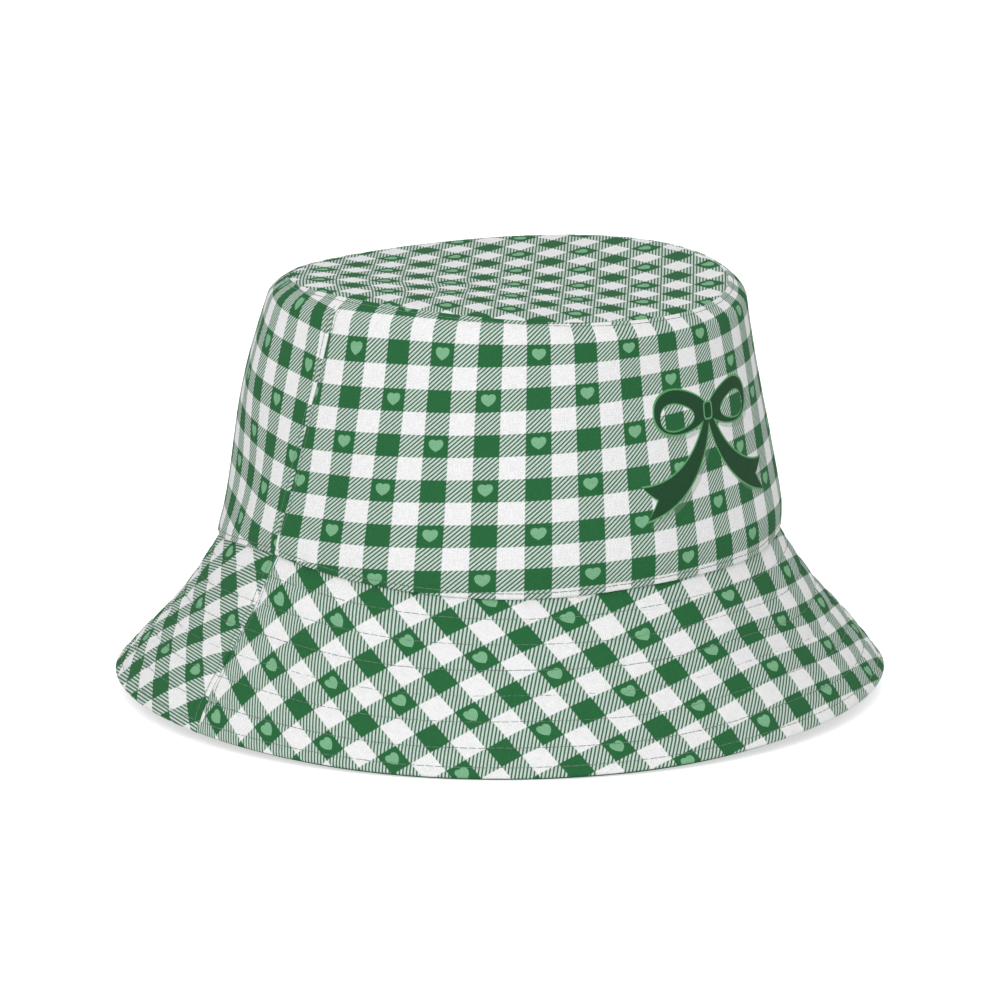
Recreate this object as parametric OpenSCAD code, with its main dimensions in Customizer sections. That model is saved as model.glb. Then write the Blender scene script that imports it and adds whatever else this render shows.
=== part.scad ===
// Bucket hat: a two-layer sewn cloth hat with a flat round crown and a sloping, quilted brim.
// The hat stands on its brim's edge at z = 0 with its axis on Z. The front panels face -Y.
// The side seams are at -X and +X. Every panel is a cloth sheet with its seam allowances
// folded in between the shell and the lining, where the sewn edges lie on one another.

/* [Crown] */
// Radius of the crown where it meets the brim, outside the cloth
base_r = 95; // [88:0.5:102]
// Radius of the crown at its shoulder
shoulder_r = 80.5; // [76:0.5:85]
// Height of the crown seam above the brim seam
crown_h = 88; // [76:1:98]
// Rise of the crown's middle above its seam
dome_h = 2.5; // [1:0.5:5]

/* [Brim] */
// Radius of the brim's edge
brim_r = 133; // [126:1:140]
// Height of the brim seam above the table
brim_drop = 52; // [46:1:58]
// Flare of the brim, as the change of slope from seam to edge in degrees
brim_flare = 16; // [8:1:24]
// Number of stitch rows between the brim seam and the edge row
row_count = 6; // [3:1:6]
// Distance between two stitch rows
row_pitch = 9.3; // [8:0.1:9.5]

/* [Cloth] */
// Thickness of one layer of cloth
cloth_t = 0.6; // [0.4:0.1:0.6]
// Space between the shell and the lining
core_t = 1.5; // [1.5:0.1:2]
// Width of a seam allowance
allowance = 7; // [5:0.5:7.5]
// Thickness of the sewing thread
thread_d = 0.4; // [0.3:0.05:0.5]

/* [Hidden] */
$fn = 96;

gap = 0.1;                // clearance between two cloth layers
lap = 0.1;                // overlap that fuses a folded edge to its own panel
thread_gap = 0.05;        // clearance between a thread and the cloth under it
seam_cut = 0.04;          // half of the slit between two panels, in degrees
fold_cut = 0.12;          // how far a folded allowance stays behind that slit, in degrees
collar_h = 8;             // straight foot of the crown wall
shoulder_drop = 3.5;      // height of the crown seam above the shoulder
shoulder_in = 4.5;        // how far the crown seam lies inside the shoulder
twin_offset = 2;          // distance of a topstitch line from its side seam

// Depths of the layers under the outside face of the shell.
fold_d = 2 * cloth_t;               // inner face of a folded edge
tuck_d = fold_d + gap;              // the other panel's tucked-in edge
lining_d = cloth_t + core_t;        // outer face of the lining
inside_d = lining_d + cloth_t;      // face that touches the head

// The crown wall's outside line, from the brim seam up to the crown seam.
seam_r = shoulder_r - shoulder_in;
seam_z = brim_drop + crown_h;
shoulder_z = seam_z - shoulder_drop;
collar_z = brim_drop + collar_h;
wall_slope = (base_r - shoulder_r) / (shoulder_z - collar_z);
tuck_z = shoulder_z - allowance;
wall_foot = [base_r, brim_drop];
wall_hem = wall_foot + [0, allowance];
wall_collar = [base_r, collar_z];
wall_tuck = [shoulder_r + wall_slope * allowance, tuck_z];
wall_shoulder = [shoulder_r, shoulder_z];
wall_seam = [seam_r, seam_z];
wall_line = [wall_foot, wall_collar, wall_tuck, wall_shoulder, wall_seam];
top_fold_line = [wall_tuck, wall_shoulder, wall_seam];
seam_lean = (wall_seam - wall_shoulder) / norm(wall_seam - wall_shoulder);

// The brim's outside line, an arc from its seam down to its edge. It is counted by the
// distance s along the arc from the seam.
edge_lift = 1.5;          // the shell's edge is above the lining's, which rests on the table
brim_top = [base_r - tuck_d, brim_drop - 2 * gap];
brim_end = [brim_r, edge_lift];
brim_chord = norm(brim_end - brim_top);
brim_slope = atan2(brim_top[1] - brim_end[1], brim_end[0] - brim_top[0]) + brim_flare / 2;
brim_bend_r = brim_chord / (2 * sin(brim_flare / 2));
brim_centre = brim_top + brim_bend_r * [sin(brim_slope), cos(brim_slope)];
brim_len = brim_bend_r * brim_flare * PI / 180;
mouth_r = base_r - inside_d + 2 * gap;
edge_row_s = brim_len - 3.5;
row_start = allowance;
arc_steps = 8;

function flip(points) = [for (i = [len(points) - 1 : -1 : 0]) points[i]];

// Unit vector to the inner side of the line from a to b.
function inner_side(a, b) = [a[1] - b[1], b[0] - a[0]] / norm(b - a);

// Point i of a line, moved inwards by the depth d, mitred at a corner.
function inset(line, i, d) =
    let (before = inner_side(line[max(i - 1, 0)], line[max(i, 1)]),
         after = inner_side(line[min(i, len(line) - 2)], line[min(i + 1, len(line) - 1)]),
         mitre = (before + after) / (1 + before * after))
    line[i] + d * mitre;

// A point kept on the outer side of the hat's axis.
function off_axis(p) = [max(p[0], 0), p[1]];

// Outline of a sheet along a line, between the depths d0 and d1.
function sheet(line, d0, d1) = concat(
    [for (i = [0 : len(line) - 1]) off_axis(inset(line, i, d0))],
    flip([for (i = [0 : len(line) - 1]) off_axis(inset(line, i, d1))]));

// Point of the brim at the distance s from its seam and the depth d.
function brim_point(s, d) =
    let (slope = brim_slope - s / brim_bend_r * 180 / PI)
    brim_centre - (brim_bend_r + d) * [sin(slope), cos(slope)];

// Outline of a sheet in the brim from s0 to s1, between the depths d0 and d1.
function brim_sheet(s0, s1, d0, d1) =
    let (steps = [for (i = [0 : arc_steps]) s0 + (s1 - s0) * i / arc_steps])
    concat([for (s = steps) brim_point(s, d0)], flip([for (s = steps) brim_point(s, d1)]));

// Point of the crown top at the radius r and the depth d.
function top_point(r, d) = [r, seam_z + dome_h * (1 - pow(r / seam_r, 2)) - d];

// Outline of a sheet in the crown top from r0 to r1, between the depths d0 and d1.
function top_sheet(r0, r1, d0, d1) =
    let (steps = [for (i = [0 : arc_steps]) r0 + (r1 - r0) * i / arc_steps])
    concat([for (r = steps) top_point(r, d0)], flip([for (r = steps) top_point(r, d1)]));

// Line across the crown top at the depth d, from the radius r0 to the radius r1.
function top_line(r0, r1, d) =
    [for (i = [1 : arc_steps]) top_point(r0 + (r1 - r0) * i / arc_steps, d)];

// Point where the line through p along the seam's lean meets the crown top at the depth d.
function meet_top(p, d, passes = 4) =
    let (rise = top_point(p[0], d)[1] - p[1])
    passes == 0 ? p : meet_top(p + rise / seam_lean[1] * seam_lean, d, passes - 1);

// Corner of a layer that lies at the depth d along the wall and turns in at the depth under
// beneath the crown top.
function rim_corner(d, under) = meet_top(inset([wall_shoulder, wall_seam], 1, d), under);

// Point between two ends of the upper wall line, as a share of the way up.
function wall_between(share) = wall_collar + share * (wall_shoulder - wall_collar);

// Turns a profile into the front half (-Y) or the back half (+Y) of the hat. inset_deg
// holds each end back from the side seam.
module half(side, inset_deg = seam_cut) {
    rotate([0, 0, (side == "front" ? 180 : 0) + inset_deg])
        rotate_extrude(angle = 180 - 2 * inset_deg) children();
}

// The doubled strips at both ends of a half panel, where its side allowances fold back.
module side_folds(side, width, radius) {
    turn = width / radius * 180 / PI;
    start = side == "front" ? 180 : 0;
    for (at = [start + fold_cut, start + 180 - fold_cut - turn])
        rotate([0, 0, at]) rotate_extrude(angle = turn) children();
}

// A full ring of thread whose centre lies at the point p.
module thread_ring(p) {
    rotate_extrude() translate(p) circle(d = thread_d, $fn = 24);
}

// The two lines of thread beside a side seam. dir is -1 at -X and 1 at +X.
module twin_lines(dir, radius) {
    width = thread_d / radius * 180 / PI;
    for (offset = [-twin_offset, twin_offset])
        rotate([0, 0, (dir < 0 ? 180 : 0) + offset / radius * 180 / PI - width / 2])
            rotate_extrude(angle = width) children();
}

module outer_crown_top() {
    rim = rim_corner(tuck_d, 0);
    tucked = [inset(top_fold_line, 0, tuck_d), inset(top_fold_line, 1, tuck_d), rim];
    color("honeydew") rotate_extrude()
        polygon(sheet(concat(tucked, top_line(rim[0], 0, 0)), 0, cloth_t));
}

module outer_wall(side) {
    half(side) {
        polygon(sheet(wall_line, 0, cloth_t));
        polygon(sheet([wall_foot, wall_hem], cloth_t - lap, fold_d));
        polygon(sheet(top_fold_line, cloth_t - lap, fold_d));
    }
    side_folds(side, allowance, base_r)
        polygon(sheet([wall_hem + [0, 1], wall_collar + [0, 1], wall_tuck - [0, 1]],
                      cloth_t - lap, fold_d));
}

module outer_wall_front() { color("mediumseagreen") outer_wall("front"); }

module outer_wall_back() { color("seagreen") outer_wall("back"); }

module outer_brim(side) {
    tuck_in = base_r - tuck_d - cloth_t;
    half(side) {
        polygon(brim_sheet(0, brim_len, 0, cloth_t));
        translate([tuck_in, brim_top[1] - 3 * gap]) square([cloth_t, allowance]);
        polygon(brim_sheet(brim_len - allowance, brim_len, cloth_t - lap, fold_d));
    }
    side_folds(side, allowance, brim_r)
        polygon(brim_sheet(allowance + 1, brim_len - allowance - 1, cloth_t - lap, fold_d));
}

module outer_brim_front() { color("palegreen") outer_brim("front"); }

module outer_brim_back() { color("darkseagreen") outer_brim("back"); }

module lining_crown_top() {
    rim = rim_corner(inside_d, lining_d - cloth_t)[0] - gap;
    color("mintcream") rotate_extrude() {
        polygon(top_sheet(0, rim, lining_d, inside_d));
        polygon(top_sheet(rim - allowance, rim, lining_d - cloth_t, lining_d + lap));
    }
}

module lining_wall(side) {
    tuck = cloth_t + 2 * gap;
    corner_s = (base_r - lining_d - brim_point(0, tuck)[0]) / cos(brim_slope);
    brim_tuck = [for (i = [arc_steps : -1 : 0])
                 brim_point(corner_s + (allowance - corner_s) * i / arc_steps, tuck)];
    rim = rim_corner(lining_d, tuck);
    middle = [inset(wall_line, 1, lining_d), inset(wall_line, 3, lining_d), rim];
    side_line = [wall_collar + [0, 1], wall_tuck - [0, 1]];
    half(side)
        polygon(sheet(concat(brim_tuck, middle, top_line(rim[0], rim[0] - allowance, tuck)),
                      0, cloth_t));
    side_folds(side, allowance, base_r)
        polygon(sheet(side_line, lining_d - cloth_t, lining_d + lap));
}

module lining_wall_front() { color("lightgreen") lining_wall("front"); }

module lining_wall_back() { color("mediumaquamarine") lining_wall("back"); }

module under_brim(side) {
    intersection() {
        union() {
            half(side) difference() {
                union() {
                    polygon(brim_sheet(0, brim_len, lining_d, inside_d));
                    polygon(brim_sheet(0, allowance, lining_d - cloth_t, lining_d + lap));
                    polygon(brim_sheet(brim_len - allowance, brim_len,
                                       lining_d - cloth_t, lining_d + lap));
                }
                square([mouth_r, seam_z]);
            }
            side_folds(side, allowance, brim_r)
                polygon(brim_sheet(allowance + 1, brim_len - allowance - 1,
                                   lining_d - cloth_t, lining_d + lap));
        }
        translate([-2 * brim_r, -2 * brim_r, 0]) cube([4 * brim_r, 4 * brim_r, seam_z]);
    }
}

module under_brim_front() { color("lightseagreen") under_brim("front"); }

module under_brim_back() { color("cadetblue") under_brim("back"); }

module brim_interlining(side) {
    hold_back = (allowance + 2) / base_r * 180 / PI;
    half(side, hold_back) polygon(brim_sheet(allowance + 1, brim_len - allowance - 1,
                                             cloth_t + 1.5 * gap, lining_d - 1.5 * gap));
}

module brim_interlining_front() { color("gainsboro") brim_interlining("front"); }

module brim_interlining_back() { color("lightgray") brim_interlining("back"); }

// Depth of a thread's centre on the shell's outside and on the lining's inside.
thread_out = -thread_d / 2 - thread_gap;
thread_in = inside_d + thread_d / 2 + thread_gap;

module crown_seam_stitching() {
    middle = (wall_shoulder + wall_seam) / 2;
    color("dimgray") thread_ring(inset([wall_shoulder, middle, wall_seam], 1, thread_out));
}

module base_seam_stitching() {
    color("dimgray") thread_ring([base_r - thread_out, brim_drop + 2]);
}

module side_seam_stitching(dir) {
    line = [wall_foot + [0, 3], wall_collar, wall_between(0.99)];
    color("dimgray") twin_lines(dir, base_r)
        polygon(sheet(line, -thread_d - thread_gap, -thread_gap));
}

module side_seam_stitching_left() { side_seam_stitching(-1); }

module side_seam_stitching_right() { side_seam_stitching(1); }

// The lines beside a brim's side seam run from row to row, clear of the rows they cross.
module brim_seam_stitching(dir) {
    rows = concat([for (i = [0 : row_count - 1]) row_start + i * row_pitch], [edge_row_s]);
    color("dimgray") for (i = [0 : len(rows) - 2])
        twin_lines(dir, (base_r + brim_r) / 2)
            polygon(brim_sheet(rows[i] + thread_d, rows[i + 1] - thread_d,
                               -thread_d - thread_gap, -thread_gap));
}

module brim_seam_stitching_left() { brim_seam_stitching(-1); }

module brim_seam_stitching_right() { brim_seam_stitching(1); }

module stitch_rows(depth) {
    for (i = [0 : row_count - 1]) thread_ring(brim_point(row_start + i * row_pitch, depth));
}

module brim_row_stitching() { color("dimgray") stitch_rows(thread_out); }

module brim_edge_stitching() { color("dimgray") thread_ring(brim_point(edge_row_s, thread_out)); }

module under_row_stitching() { color("gray") stitch_rows(thread_in); }

module under_edge_stitching() { color("gray") thread_ring(brim_point(edge_row_s, thread_in)); }

module lining_crown_seam_stitching() {
    color("gray") thread_ring(inset([wall_collar, wall_between(0.97), wall_shoulder], 1, thread_in));
}

module lining_seam_stitching(dir) {
    line = [wall_between(0.02), wall_between(0.95)];
    color("gray") twin_lines(dir, base_r)
        polygon(sheet(line, inside_d + thread_gap, inside_d + thread_gap + thread_d));
}

module lining_seam_stitching_left() { lining_seam_stitching(-1); }

module lining_seam_stitching_right() { lining_seam_stitching(1); }

outer_crown_top();
outer_wall_front();
outer_wall_back();
outer_brim_front();
outer_brim_back();
lining_crown_top();
lining_wall_front();
lining_wall_back();
under_brim_front();
under_brim_back();
brim_interlining_front();
brim_interlining_back();
crown_seam_stitching();
base_seam_stitching();
side_seam_stitching_left();
side_seam_stitching_right();
brim_seam_stitching_left();
brim_seam_stitching_right();
brim_row_stitching();
brim_edge_stitching();
under_row_stitching();
under_edge_stitching();
lining_crown_seam_stitching();
lining_seam_stitching_left();
lining_seam_stitching_right();
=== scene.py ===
"""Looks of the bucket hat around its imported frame.

Every sewn panel is lofted again as a thin closed sheet of cloth, with folded edges, stitched
grooves, padding and puckers, and every seam as a row of separate stitches. All of them pass
through one drape(), so that the layers keep their places while the hat sags and leans.
Lengths are millimetres until a mesh is made, and angles are measured round the hat's axis
from the front (-Y) towards +X.
"""

import math

import bmesh
import bpy
import numpy as np
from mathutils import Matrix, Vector


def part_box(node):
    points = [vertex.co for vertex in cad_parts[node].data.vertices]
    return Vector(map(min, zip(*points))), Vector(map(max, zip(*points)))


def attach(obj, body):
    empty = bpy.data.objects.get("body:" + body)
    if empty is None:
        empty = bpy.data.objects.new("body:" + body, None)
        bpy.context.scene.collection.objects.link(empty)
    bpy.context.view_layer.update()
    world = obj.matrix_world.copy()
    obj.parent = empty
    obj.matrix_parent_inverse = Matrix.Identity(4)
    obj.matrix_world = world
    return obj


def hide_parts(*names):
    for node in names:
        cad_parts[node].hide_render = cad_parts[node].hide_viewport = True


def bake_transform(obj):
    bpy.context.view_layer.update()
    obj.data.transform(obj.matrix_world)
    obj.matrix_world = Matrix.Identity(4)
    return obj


MM = 0.001

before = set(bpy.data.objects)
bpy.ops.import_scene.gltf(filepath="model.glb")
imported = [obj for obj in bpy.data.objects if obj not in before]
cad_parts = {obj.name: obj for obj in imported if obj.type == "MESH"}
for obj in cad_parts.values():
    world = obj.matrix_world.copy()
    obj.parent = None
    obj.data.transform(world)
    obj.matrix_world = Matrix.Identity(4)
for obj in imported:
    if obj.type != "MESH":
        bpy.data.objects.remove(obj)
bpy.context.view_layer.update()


# ---------------------------------------- sizes


def corner_mm(node, which):
    """Lowest (0) or highest (1) corner of a CAD node, in millimetres."""
    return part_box(node)[which] / MM


CLOTH = 0.6  # thickness of one layer
GAP = 0.1  # clearance between two layers
ALLOWANCE = 7.0  # width of a folded seam allowance
FOLDED = 2 * CLOTH  # depth of a folded edge's inner face
TUCK = FOLDED + GAP  # depth of the other panel's tucked-in edge
LINING = 2.1  # depth of the lining's outer face
INSIDE = LINING + CLOTH  # depth of the face that touches the head
LINING_TOP_IN = 2.79  # how far the edge of the lining's crown top lies inside the crown seam

BASE_R = corner_mm("outer_wall_front", 1).x
BRIM_SEAM_Z = corner_mm("outer_wall_front", 0).z
CROWN_SEAM_Z = corner_mm("outer_wall_front", 1).z
DOME_H = corner_mm("outer_crown_top", 1).z - CROWN_SEAM_Z
SEAM_R = corner_mm("lining_crown_top", 1).x + LINING_TOP_IN
BRIM_R = corner_mm("outer_brim_front", 1).x
CROWN_H = CROWN_SEAM_Z - BRIM_SEAM_Z

SHOULDER_IN = 4.5  # how far the crown seam lies inside the shoulder
SHOULDER_DROP = 3.5  # how far the shoulder lies under the crown seam
COLLAR_H = 8.0  # straight foot of the crown wall
EDGE_LIFT = 1.5  # height of the brim's edge
BRIM_FLARE = math.radians(16)  # change of the brim's slope from seam to edge
ROW_COUNT = 6
ROW_PITCH = 9.3
EDGE_ROW_IN = 3.5  # distance of the last stitch row from the brim's edge
TWIN_OFFSET = 2.0  # distance of a topstitch line from its side seam
SLIT = math.radians(0.05)  # half of the slit between two panels

# ---------------------------------------- reference lines


class Line:
    """A line in the hat's section, counted by its length s, with normals to its outer side."""

    def __init__(self, points, outer_side, zero=0.0):
        points = np.array(points, float)
        steps = np.linalg.norm(np.diff(points, axis=0), axis=1)
        self.s = np.concatenate([[0.0], np.cumsum(steps)]) - zero
        self.points = points
        tangents = np.gradient(points, self.s, axis=0)
        tangents /= np.linalg.norm(tangents, axis=1)[:, None]
        self.normals = outer_side * np.column_stack([tangents[:, 1], -tangents[:, 0]])
        self.start, self.end = self.s[0], self.s[-1]

    def at(self, s, depth):
        """Radius and height of the points at s, depth below the line."""
        r, z = (np.interp(s, self.s, self.points[:, i]) for i in (0, 1))
        nr, nz = (np.interp(s, self.s, self.normals[:, i]) for i in (0, 1))
        return r - depth * nr, z - depth * nz

    def s_at_height(self, z):
        """s of the point at the height z, for a line that only rises."""
        return float(np.interp(z, self.points[:, 1], self.s))


def resampled(corners, step):
    """Points about every step along a line of corners."""
    corners = np.array(corners, float)
    lengths = np.linalg.norm(np.diff(corners, axis=0), axis=1)
    at = np.concatenate([[0.0], np.cumsum(lengths)])
    wanted = np.linspace(0, at[-1], int(round(at[-1] / step)) + 1)
    return np.column_stack([np.interp(wanted, at, corners[:, i]) for i in (0, 1)])


def rounded(points, passes):
    """The points with their corners rounded by repeated averaging."""
    points = points.copy()
    for _ in range(passes):
        points[1:-1] = (points[:-2] + 2 * points[1:-1] + points[2:]) / 4
    return points


def brim_arc(step):
    """The brim's outside line, an arc from its seam down to its edge."""
    top = np.array([BASE_R - TUCK, BRIM_SEAM_Z - 2 * GAP])
    end = np.array([BRIM_R, EDGE_LIFT])
    chord = np.linalg.norm(end - top)
    bend_r = chord / (2 * math.sin(BRIM_FLARE / 2))
    first = math.atan2(top[1] - end[1], end[0] - top[0]) + BRIM_FLARE / 2
    centre = top + bend_r * np.array([math.sin(first), math.cos(first)])
    slopes = np.linspace(first, first - BRIM_FLARE, int(round(bend_r * BRIM_FLARE / step)) + 1)
    return centre - bend_r * np.column_stack([np.sin(slopes), np.cos(slopes)])


def top_height(r):
    return CROWN_SEAM_Z + DOME_H * (1 - (r / SEAM_R) ** 2)


def top_arc(r0, r1, step):
    """The crown top's outside line between two radii."""
    r = np.linspace(r0, r1, int(round(abs(r1 - r0) / step)) + 1)
    return np.column_stack([r, top_height(r)])


STEP = 0.8  # spacing of a sheet's points down the hat

WALL_CORNERS = [
    (BASE_R, BRIM_SEAM_Z),
    (BASE_R, BRIM_SEAM_Z + COLLAR_H),
    (SEAM_R + SHOULDER_IN, CROWN_SEAM_Z - SHOULDER_DROP),
    (SEAM_R, CROWN_SEAM_Z),
]
WALL = Line(rounded(resampled(WALL_CORNERS, STEP), 14), outer_side=1)


def brim_line():
    """The brim from its edge tucked up inside the wall, over the seam and down to its rim."""
    arc = brim_arc(STEP)
    tucked = resampled([arc[0] + (0, ALLOWANCE), arc[0] + (0, STEP)], STEP)
    points = rounded(np.vstack([tucked, arc]), 2)
    return Line(points, outer_side=-1, zero=ALLOWANCE)


def top_line():
    """The crown top from its middle over the seam, and down inside the wall."""
    down = np.linspace(WALL.end - 1.0, WALL.end - ALLOWANCE, int(ALLOWANCE / STEP))
    tucked = np.column_stack(WALL.at(down, TUCK))
    arc = top_arc(0, tucked[0, 0] - 0.5, STEP)
    return Line(rounded(np.vstack([arc, tucked]), 2), outer_side=-1)


BRIM = brim_line()
TOP = top_line()
LINING_TOP = Line(top_arc(0, SEAM_R, STEP), outer_side=-1)


def lining_line():
    """The lining wall: tucked under the brim, up inside the wall and in under the crown top."""
    foot = np.column_stack(BRIM.at(np.arange(ALLOWANCE, 1.5, -STEP), CLOTH + 2 * GAP))
    up = np.column_stack(WALL.at(np.arange(WALL.start + 2, WALL.end - 2, STEP), LINING))
    over = np.column_stack(
        LINING_TOP.at(np.arange(up[-1, 0] - 1.5, up[-1, 0] - ALLOWANCE, -STEP), CLOTH + 2 * GAP)
    )
    return Line(rounded(np.vstack([foot, up, over]), 2), outer_side=1)


LINING_WALL = lining_line()
ROWS = [ALLOWANCE + i * ROW_PITCH for i in range(ROW_COUNT)]
EDGE_ROW = BRIM.end - EDGE_ROW_IN

# ---------------------------------------- relief of the sewn cloth

random = np.random.default_rng(11)


class Ripples:
    """A smooth, repeatable random wave round the hat."""

    def __init__(self, lowest, highest, count=7):
        self.waves = random.integers(lowest, highest, count)
        self.phases = random.uniform(0, 2 * math.pi, count)
        self.scale = 1 / math.sqrt(count / 2)

    def __call__(self, angle):
        total = sum(np.sin(n * angle + p) for n, p in zip(self.waves, self.phases))
        return total * self.scale


def hump(distance, width):
    """1 at distance 0, falling smoothly to 0 over about twice the width."""
    return np.exp(-((distance / width) ** 2))


def smooth_step(value, low, high):
    t = np.clip((value - low) / (high - low), 0, 1)
    return t * t * (3 - 2 * t)


def seam_distance(angle, radius):
    """Distance round the hat to the nearer side seam, at +X or -X."""
    return np.abs((angle % math.pi) - math.pi / 2) * radius


SEAM_DIP = 0.55  # how deep the cloth turns into a side seam
TOPSTITCH_DIP = 0.16  # how deep a topstitch pulls the cloth in
ROW_DIP = 0.26  # how deep a stitched row pulls the brim's cloth in
PAD_RISE = 0.34  # how far the padding lifts the cloth between two rows
DENT = 0.10  # height of the padding's dents
UNPADDED = 0.45  # share of the relief left where the brim is sewn flat, at its seam and edge
ROW_WIDTH = 0.7  # width of the dip under a stitched row
PUCKER = 0.11  # height of the puckers beside a stitched line
PUCKER_REACH = 2.2  # how far they reach from it
PUCKER_SLANT = 0.004  # how far they lean round the hat, in radians a millimetre
CREASE_WIDTH = 0.75  # width of the crease at a side seam
CROWN_ROW_IN = 1.8  # distance of the crown's topstitch row from its seam
BASE_ROW_UP = 2.0  # height of the base's topstitch row above the brim seam
UNDER_SWELL = 0.7  # inward swell of the brim's underside, as a share of its upper face's

ROW_PUCKERS = [Ripples(50, 150) for _ in range(ROW_COUNT + 1)]
BAND_DENTS = [Ripples(14, 48) for _ in range(ROW_COUNT + 2)]
CROWN_PUCKERS = Ripples(40, 120)
BASE_PUCKERS = Ripples(40, 120)
TOP_PUCKERS = Ripples(30, 90)
SIDE_PUCKERS = Ripples(18, 60)


def seam_relief(angle, radius, along):
    """Relief beside the side seams: the seam's crease, its two topstitch lines and puckers."""
    away = seam_distance(angle, radius)
    crease = -SEAM_DIP * hump(away, CREASE_WIDTH)
    twin = -TOPSTITCH_DIP * hump(away - TWIN_OFFSET, 0.55)
    puckers = PUCKER * hump(away - TWIN_OFFSET, PUCKER_REACH) * SIDE_PUCKERS(along / BASE_R)
    return crease + twin + 0.6 * puckers


def brim_face_relief(s, angle):
    """How far the brim's cloth stands proud of its line: padding, rows, puckers and dents."""
    rows = ROWS + [EDGE_ROW]
    edges = [0.0] + rows + [BRIM.end]
    padded = smooth_step(s, 5, 10) * (1 - smooth_step(s, BRIM.end - 9, BRIM.end - 5))
    soft = UNPADDED + (1 - UNPADDED) * padded
    relief = np.zeros(np.broadcast(s, angle).shape)
    for i, (low, high) in enumerate(zip(edges, edges[1:])):
        share = np.clip((s - low) / (high - low), 0, 1)
        pad = np.sin(math.pi * share) ** 0.8
        relief += pad * soft * (PAD_RISE + DENT * BAND_DENTS[i](angle))
    for row, puckers in zip(rows, ROW_PUCKERS):
        near = np.abs(s - row)
        relief -= ROW_DIP * soft * hump(near, ROW_WIDTH)
        relief += PUCKER * np.exp(-near / PUCKER_REACH) * puckers(angle + PUCKER_SLANT * (s - row))
    return relief


def brim_relief(s, angle, depth):
    """Relief of any layer of the brim: the shell swells outwards and the lining inwards."""
    face = brim_face_relief(s, angle)
    seam = seam_relief(angle, BASE_R + s, s)
    inward = smooth_step(depth, CLOTH, LINING)
    visible = s > 0
    return np.where(visible, face * (1 - (1 + UNDER_SWELL) * inward) + seam * (1 - inward), 0)


def wall_relief(s, angle, depth):
    """Relief of the crown wall beside its seams."""
    puckers = CROWN_PUCKERS(angle) * np.exp(-(WALL.end - s) / 4) * (s < WALL.end - 1)
    puckers = puckers + BASE_PUCKERS(angle) * np.exp(-np.abs(s - BASE_ROW_UP) / 3)
    lines = hump(s - (WALL.end - CROWN_ROW_IN), ROW_WIDTH) + hump(s - BASE_ROW_UP, ROW_WIDTH)
    relief = PUCKER * puckers - TOPSTITCH_DIP * lines + seam_relief(angle, BASE_R, s)
    return relief * (1 - smooth_step(depth, TUCK, LINING))


def top_relief(s, angle, depth):
    """Puckers of the crown top along its seam."""
    rim = SEAM_R - TUCK
    fade = np.exp(-np.abs(rim - 2 - s) / 4) * (s < rim)
    return PUCKER * TOP_PUCKERS(angle) * fade * (1 - smooth_step(depth, CLOTH, LINING))


def lining_relief(s, angle, depth):
    """The lining turns away from the head at its side seams."""
    return SEAM_DIP * hump(seam_distance(angle, BASE_R), CREASE_WIDTH) + 0 * s


# ---------------------------------------- drape

VIEW_ANGLE = math.radians(-40)  # where the camera stands, round the hat from the front
IMAGE_RIGHT = np.array([math.cos(VIEW_ANGLE), math.sin(VIEW_ANGLE)])
IMAGE_AWAY = np.array([-math.sin(VIEW_ANGLE), math.cos(VIEW_ANGLE)])
FLOOR_GAP = -0.2  # lowers the hat, so that its folded edge rests on the floor
EDGE_WAVE = 2.5  # the brim's edge rests at two sides and rises twice this at the others
FLARE_RISE = 2.6  # how far the raised sides of the brim bell out above their line
BRIM_DRAW = 2.6  # how far the brim's edge is drawn in at the right
LEAN = 2.2  # sideways lean of the crown, at its top
SEAM_PULL = 0.018  # share by which the crown seam is drawn in
SEAM_SADDLE = 2.5  # how far the crown seam rises at two sides and dips at the others
SEAM_TILT = 0.6  # height of the crown seam's tilt
LEFT_LIFT = 4.6  # how far the brim seam lifts at the left
RIGHT_LIFT = 3.0  # and at the right
FRONT_DIP = 2.6  # how far it dips towards the camera
FOOT_DROP = 0.2  # and how far it lies lower all round
FOOT_REACH = 0.35  # share of the crown's height over which its shift dies out
LEFT_TWIST = math.radians(7)  # turn of the left seam over the height of the crown
TWIST_CENTRE = 0.43  # share of the crown's height where the left seam is in its place
BULGE = 1.5  # half of the crown's bulge at the left
BULGE_HEIGHT = 0.65  # share of the crown's height where it is widest
TOP_DIP = 1.3  # how far the crown top's middle dips below the seam
WALL_DENT = 0.45  # depth of the wall's shallow dents
WALL_DENTS = [Ripples(2, 7, 4), Ripples(5, 14, 4)]
BRIM_ROLL = Ripples(3, 9, 5)
BRIM_ROLL_H = 0.5


def around(angle, degrees, width):
    """A hump round the hat, 1 at an angle given from the camera's side, so many degrees wide."""
    away = (angle - VIEW_ANGLE - math.radians(degrees) + math.pi) % (2 * math.pi) - math.pi
    return hump(away, math.radians(width))


def foot_shift(angle):
    """How far the brim seam lies above its even height: it dips in front and lifts at its sides."""
    left = LEFT_LIFT * around(angle, -54, 21)
    right = RIGHT_LIFT * around(angle, 85, 18)
    return left + right - FRONT_DIP * around(angle, 3, 24) - FOOT_DROP


def foot_share(height, reach):
    """Share of the brim seam's shift that a point takes, from its place on the crown or brim."""
    return (1 - smooth_step(height, 0, FOOT_REACH)) * (1 - reach)


def side_twist(angle, height, reach):
    """Turn of the cloth round the hat beside its left seam, which doesn't run quite upright."""
    climb = height - TWIST_CENTRE - 0.2 * reach
    return LEFT_TWIST * climb * around(angle, -50, 26) * (1 - reach**2)


def left_swell(angle, height):
    """How far the crown bulges at its left side."""
    high = BULGE * (1 + np.cos(2 * math.pi * (height - BULGE_HEIGHT) / 0.95))
    low = BULGE * (1 - smooth_step(height, 0, 0.12))
    return (high + low) * around(angle, -95, 50)


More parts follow.
